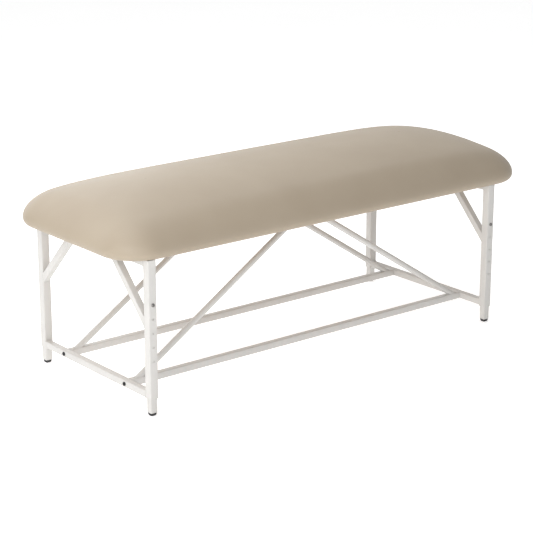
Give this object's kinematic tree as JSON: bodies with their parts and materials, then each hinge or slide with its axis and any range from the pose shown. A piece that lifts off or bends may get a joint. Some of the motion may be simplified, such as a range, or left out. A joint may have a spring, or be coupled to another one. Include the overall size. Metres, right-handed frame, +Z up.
{
  "type": "examination couch",
  "caption": "Examination couch with a domed, rounded vinyl pad on a white square-tube frame with diagonal braces and screw-locked telescopic legs.",
  "frame": {"origin": "on the floor under the middle of the pad, with the legs at their shortest", "axes": "+X along the couch, +Z up, -Y its front long side"},
  "size_m": [1.9, 0.75, 0.7344],
  "materials": {
    "white_paint": "satin powder coat",
    "cover_vinyl": "fine-grained satin beige vinyl",
    "pad_foam": "open-cell foam",
    "board_wood": "raw plywood",
    "foot_plastic": "satin black",
    "black_steel": "black oxide",
    "zinc_steel": "zinc plated"
  },
  "bodies": {
    "couch": {"pad_cover": "cover_vinyl", "pad_foam": "pad_foam", "pad_board": "board_wood", "leg_front_left": "white_paint", "height_screw_front_left": "zinc_steel", "knee_brace_front_left": "white_paint", "diagonal_brace_front_left": "white_paint", "bottom_frame_bolt_front_left": "black_steel", "top_frame_bolt_front_left": "black_steel", "lower_rail_insert_front_left": "zinc_steel", "upper_rail_insert_front_left": "zinc_steel", "board_screw_front_left": "zinc_steel", "leg_front_right": "white_paint", "height_screw_front_right": "zinc_steel", "knee_brace_front_right": "white_paint", "diagonal_brace_front_right": "white_paint", "bottom_frame_bolt_front_right": "black_steel", "top_frame_bolt_front_right": "black_steel", "lower_rail_insert_front_right": "zinc_steel", "upper_rail_insert_front_right": "zinc_steel", "board_screw_front_right": "zinc_steel", "leg_rear_left": "white_paint", "height_screw_rear_left": "zinc_steel", "knee_brace_rear_left": "white_paint", "diagonal_brace_rear_left": "white_paint", "bottom_frame_bolt_rear_left": "black_steel", "top_frame_bolt_rear_left": "black_steel", "lower_rail_insert_rear_left": "zinc_steel", "upper_rail_insert_rear_left": "zinc_steel", "board_screw_rear_left": "zinc_steel", "leg_rear_right": "white_paint", "height_screw_rear_right": "zinc_steel", "knee_brace_rear_right": "white_paint", "diagonal_brace_rear_right": "white_paint", "bottom_frame_bolt_rear_right": "black_steel", "top_frame_bolt_rear_right": "black_steel", "lower_rail_insert_rear_right": "zinc_steel", "upper_rail_insert_rear_right": "zinc_steel", "board_screw_rear_right": "zinc_steel", "bottom_cross_rail_left": "white_paint", "top_cross_rail_left": "white_paint", "bottom_cross_rail_right": "white_paint", "top_cross_rail_right": "white_paint", "lower_side_rail_front": "white_paint", "upper_side_rail_front": "white_paint", "lower_side_rail_rear": "white_paint", "upper_side_rail_rear": "white_paint"},
    "sliding_leg_front_left": {"leg_extension_front_left": "white_paint", "leg_nut_front_left": "zinc_steel", "foot_plug_front_left": "foot_plastic"},
    "sliding_leg_front_right": {"leg_extension_front_right": "white_paint", "leg_nut_front_right": "zinc_steel", "foot_plug_front_right": "foot_plastic"},
    "sliding_leg_rear_left": {"leg_extension_rear_left": "white_paint", "leg_nut_rear_left": "zinc_steel", "foot_plug_rear_left": "foot_plastic"},
    "sliding_leg_rear_right": {"leg_extension_rear_right": "white_paint", "leg_nut_rear_right": "zinc_steel", "foot_plug_rear_right": "foot_plastic"}
  },
  "joints": [
    {"name": "leg_slide_front_left", "type": "slide", "parent": "couch", "child": "sliding_leg_front_left", "axis": [0, 0, -1], "range_m": [0, 0.2]},
    {"name": "leg_slide_front_right", "type": "slide", "parent": "couch", "child": "sliding_leg_front_right", "axis": [0, 0, -1], "range_m": [0, 0.2]},
    {"name": "leg_slide_rear_left", "type": "slide", "parent": "couch", "child": "sliding_leg_rear_left", "axis": [0, 0, -1], "range_m": [0, 0.2]},
    {"name": "leg_slide_rear_right", "type": "slide", "parent": "couch", "child": "sliding_leg_rear_right", "axis": [0, 0, -1], "range_m": [0, 0.2]}
  ]
}
